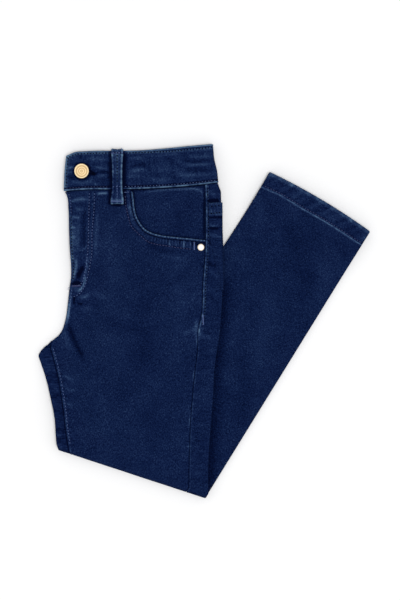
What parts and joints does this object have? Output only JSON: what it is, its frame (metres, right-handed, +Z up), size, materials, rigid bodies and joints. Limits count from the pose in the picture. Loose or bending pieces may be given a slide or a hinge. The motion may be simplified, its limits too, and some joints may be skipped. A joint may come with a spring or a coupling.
{
  "type": "folded jeans",
  "caption": "Child's five-pocket denim jeans, buttoned, folded in half along the fly and folded up at the knee, lying flat.",
  "frame": {"origin": "centre of the bounding box, at its bottom, where the folded jeans lie on a surface", "axes": "+Z up out of the stack of cloth, +Y from the knee fold towards the waistband, +X across towards the lower leg's hem"},
  "size_m": [0.3714, 0.3971, 0.0172],
  "materials": {
    "denim": "washed dark indigo stretch denim, slightly worn along the seams",
    "metal": "pale gold, satin"
  },
  "bodies": {
    "root": {"left_front": "denim", "left_back": "denim", "right_front": "denim", "hidden_layers": "denim", "waistband": "denim", "belt_loop": "denim", "pocket_facing": "denim", "back_pocket": "denim", "waist_button": "metal", "pocket_rivet": "metal"}
  },
  "joints": []
}
